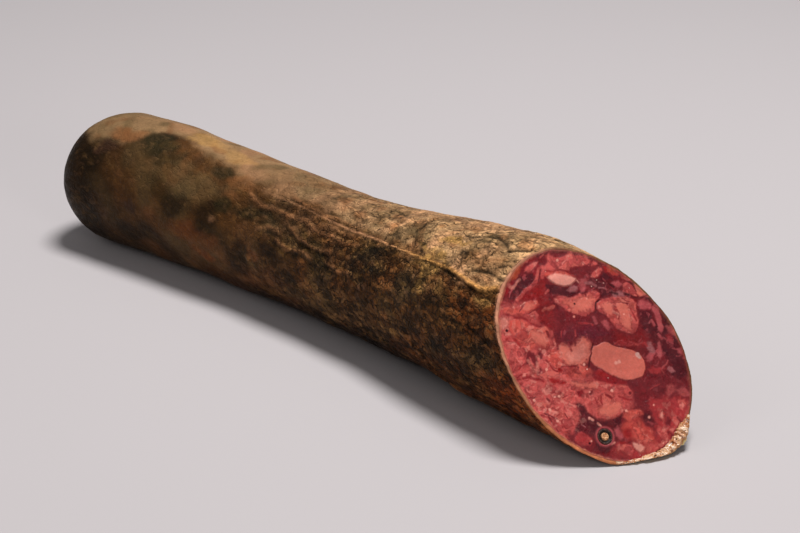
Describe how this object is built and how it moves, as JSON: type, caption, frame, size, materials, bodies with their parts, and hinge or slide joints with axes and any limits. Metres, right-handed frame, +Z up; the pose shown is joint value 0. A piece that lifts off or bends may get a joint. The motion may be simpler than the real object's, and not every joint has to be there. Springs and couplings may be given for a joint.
{
  "type": "cured sausage",
  "caption": "Half of a cured sausage in its dried skin, with a round blind end and a slanting cut that shows coarse lean, lumps of fat and a halved peppercorn.",
  "frame": {"origin": "under the middle of the bounding box, on the surface that the sausage lies on", "axes": "+X along the sausage from its blind end to its cut, +Z up; the cut faces +X, -Y and up"},
  "size_m": [0.277, 0.0588, 0.0554],
  "materials": {
    "cured_meat": "dry brown skin with a fine wrinkle, moist red and pink meat in the cut",
    "pepper": "dark husk with a pale core"
  },
  "bodies": {
    "root": {"sausage": "cured_meat", "peppercorn": "pepper"}
  },
  "joints": []
}
